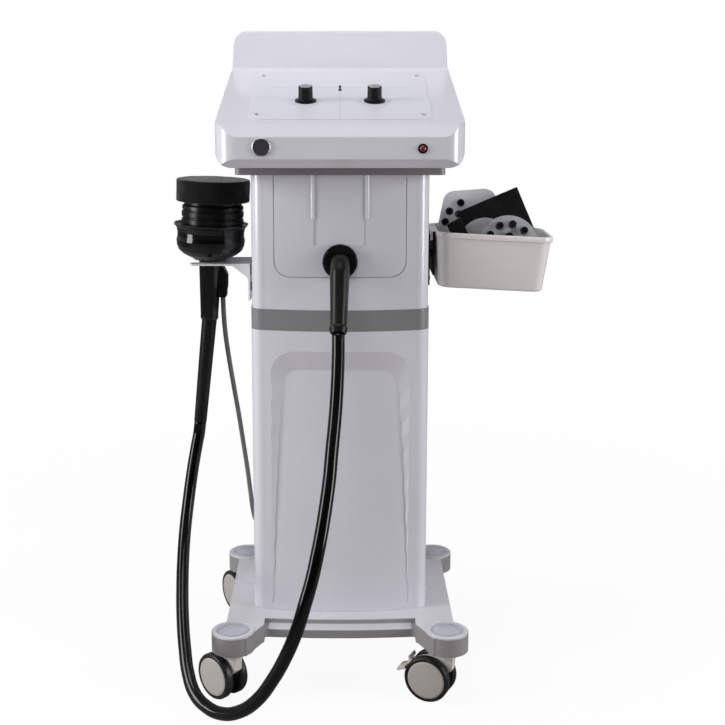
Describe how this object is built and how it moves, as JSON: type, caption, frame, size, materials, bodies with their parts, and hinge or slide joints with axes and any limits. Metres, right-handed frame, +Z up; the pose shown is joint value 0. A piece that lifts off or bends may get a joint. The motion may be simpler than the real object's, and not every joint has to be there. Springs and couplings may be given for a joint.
{
  "type": "trolley massage machine",
  "caption": "Motor cabinet on twin-wheel casters with a sloping console, a hose-driven handpiece in a side holder and an accessory tray.",
  "frame": {"origin": "on the floor under the centre of the base, midway between the four caster axes", "axes": "+X to the right seen from the front, towards the tray; -Y to the front; +Z up"},
  "size_m": [0.6116, 0.6185, 1.0585],
  "materials": {
    "casting": "smooth light grey paint on a cast base",
    "cap": "glossy",
    "steel": "plain",
    "caster_body": "satin",
    "tread": "semi-matt",
    "caster_disc": "satin",
    "shell": "semi-gloss moulded",
    "band": "satin",
    "sheet": "powder coat",
    "black_plastic": "satin",
    "motor_case": "satin",
    "board": "solder mask",
    "rubber_grey": "matt",
    "hose_skin": "glossy",
    "plinth_metal": "satin",
    "plate_film": "satin film on sheet",
    "button_grey": "satin",
    "lens_red": "clear tinted",
    "gloss_black": "glossy",
    "rubber_black": "semi-matt",
    "foam": "open foam, rough",
    "cable_skin": "satin",
    "tray_ivory": "semi-gloss moulded",
    "head_grey": "satin",
    "pad_light": "satin"
  },
  "bodies": {
    "machine": {"base_frame": "casting", "boss_caps": "cap", "caster_stems": "steel", "lower_cabinet": "shell", "grey_band": "band", "upper_cabinet": "shell", "front_cover": "shell", "rear_cover": "sheet", "screws": "steel", "mains_inlet": "black_plastic", "motor_shelf": "steel", "motor": "motor_case", "control_board": "board", "hose_port": "black_plastic", "port_sleeve": "rubber_grey", "hose": "hose_skin", "plinth": "plinth_metal", "console_shell": "shell", "control_plate": "plate_film", "potentiometers": "black_plastic", "start_ring": "steel", "lamp_ring": "black_plastic", "lamp_lens": "lens_red", "holder": "sheet", "switch_cable": "cable_skin", "cable_gland": "black_plastic", "tray_rail": "black_plastic"},
    "swivel_front_left": {"caster_front_left": "caster_body"},
    "swivel_front_right": {"caster_front_right": "caster_body"},
    "swivel_rear_left": {"caster_rear_left": "caster_body"},
    "swivel_rear_right": {"caster_rear_right": "caster_body"},
    "wheel_pair_front_left": {"wheels_front_left": "tread", "discs_front_left": "caster_disc"},
    "wheel_pair_front_right": {"wheels_front_right": "tread", "discs_front_right": "caster_disc"},
    "wheel_pair_rear_left": {"wheels_rear_left": "tread", "discs_rear_left": "caster_disc"},
    "wheel_pair_rear_right": {"wheels_rear_right": "tread", "discs_rear_right": "caster_disc"},
    "brake_lever": {"brake": "caster_body"},
    "left_knob": {"knob_left": "black_plastic"},
    "right_knob": {"knob_right": "black_plastic"},
    "toggle": {"toggle_lever": "black_plastic"},
    "button": {"start_button": "button_grey"},
    "handpiece": {"cup_housing": "gloss_black", "neck_ring": "rubber_black", "handle": "gloss_black", "switch_box": "black_plastic", "spindle_bearings": "steel", "hand_sleeve": "rubber_grey"},
    "trigger_key": {"trigger": "button_grey"},
    "crank": {"spindle": "steel"},
    "applicator": {"pad_plate": "black_plastic", "foam_pad": "foam"},
    "drive": {"drive_coupling": "steel"},
    "accessory_tray": {"tray": "tray_ivory", "foam_blocks": "foam", "head_plates": "head_grey", "spotted_pad": "pad_light", "head_nubs": "rubber_black"}
  },
  "joints": [
    {"name": "swivel_front_left", "type": "hinge", "parent": "machine", "child": "swivel_front_left", "pos_m": [-0.17, -0.17, 0.086], "axis": [0, 0, 1], "continuous": true},
    {"name": "roll_front_left", "type": "hinge", "parent": "swivel_front_left", "child": "wheel_pair_front_left", "pos_m": [-0.18909, -0.15091, 0.0375], "axis": [-0.7071, -0.7071, 0], "continuous": true},
    {"name": "swivel_front_right", "type": "hinge", "parent": "machine", "child": "swivel_front_right", "pos_m": [0.17, -0.17, 0.086], "axis": [0, 0, 1], "continuous": true},
    {"name": "roll_front_right", "type": "hinge", "parent": "swivel_front_right", "child": "wheel_pair_front_right", "pos_m": [0.14553, -0.15859, 0.0375], "axis": [-0.4226, -0.9063, 0], "continuous": true},
    {"name": "swivel_rear_left", "type": "hinge", "parent": "machine", "child": "swivel_rear_left", "pos_m": [-0.17, 0.17, 0.086], "axis": [0, 0, 1], "continuous": true},
    {"name": "roll_rear_left", "type": "hinge", "parent": "swivel_rear_left", "child": "wheel_pair_rear_left", "pos_m": [-0.18471, 0.19264, 0.0375], "axis": [-0.8387, -0.5446, 0], "continuous": true},
    {"name": "swivel_rear_right", "type": "hinge", "parent": "machine", "child": "swivel_rear_right", "pos_m": [0.17, 0.17, 0.086], "axis": [0, 0, 1], "continuous": true},
    {"name": "roll_rear_right", "type": "hinge", "parent": "swivel_rear_right", "child": "wheel_pair_rear_right", "pos_m": [0.14392, 0.17699, 0.0375], "axis": [-0.2588, -0.9659, 0], "continuous": true},
    {"name": "brake_press", "type": "hinge", "parent": "swivel_front_right", "child": "brake_lever", "pos_m": [0.12287, -0.14802, 0.0555], "axis": [-0.4226, -0.9063, 0], "range_deg": [0, 7]},
    {"name": "left_knob_turn", "type": "hinge", "parent": "machine", "child": "left_knob", "pos_m": [-0.054, -0.04323, 0.94544], "axis": [0, -0.2642, 0.9645], "range_deg": [-270, 0]},
    {"name": "right_knob_turn", "type": "hinge", "parent": "machine", "child": "right_knob", "pos_m": [0.054, -0.04323, 0.94544], "axis": [0, -0.2642, 0.9645], "range_deg": [-270, 0]},
    {"name": "toggle_flip", "type": "hinge", "parent": "machine", "child": "toggle", "pos_m": [0, 0.01447, 0.95813], "axis": [1, 0, 0], "range_deg": [-12, 12]},
    {"name": "button_press", "type": "slide", "parent": "machine", "child": "button", "axis": [0, 1, 0], "range_m": [0, 0.0025], "stiffness_N_per_m": 300},
    {"name": "handpiece_slide_out", "type": "slide", "parent": "machine", "child": "handpiece", "axis": [-1, 0, 0], "range_m": [0, 0.055]},
    {"name": "trigger_press", "type": "slide", "parent": "handpiece", "child": "trigger_key", "axis": [-0.9994, 0, 0.0349], "range_m": [0, 0.0015], "stiffness_N_per_m": 300},
    {"name": "drive_spin", "type": "hinge", "parent": "machine", "child": "drive", "pos_m": [0, -0.018, 0.7], "axis": [0, -1, 0], "continuous": true},
    {"name": "crank_spin", "type": "hinge", "parent": "handpiece", "child": "crank", "pos_m": [-0.213, 0.008, 0.686], "axis": [0.0349, 0, 0.9994], "continuous": true},
    {"name": "applicator_pull", "type": "slide", "parent": "handpiece", "child": "applicator", "axis": [0.0349, 0, 0.9994], "range_m": [0, 0.014]},
    {"name": "tray_lift", "type": "slide", "parent": "machine", "child": "accessory_tray", "axis": [0, 0, 1], "range_m": [0, 0.03]}
  ],
  "couplings": [
    {"joint": "drive_spin", "follows": "crank_spin", "ratio": 1}
  ]
}
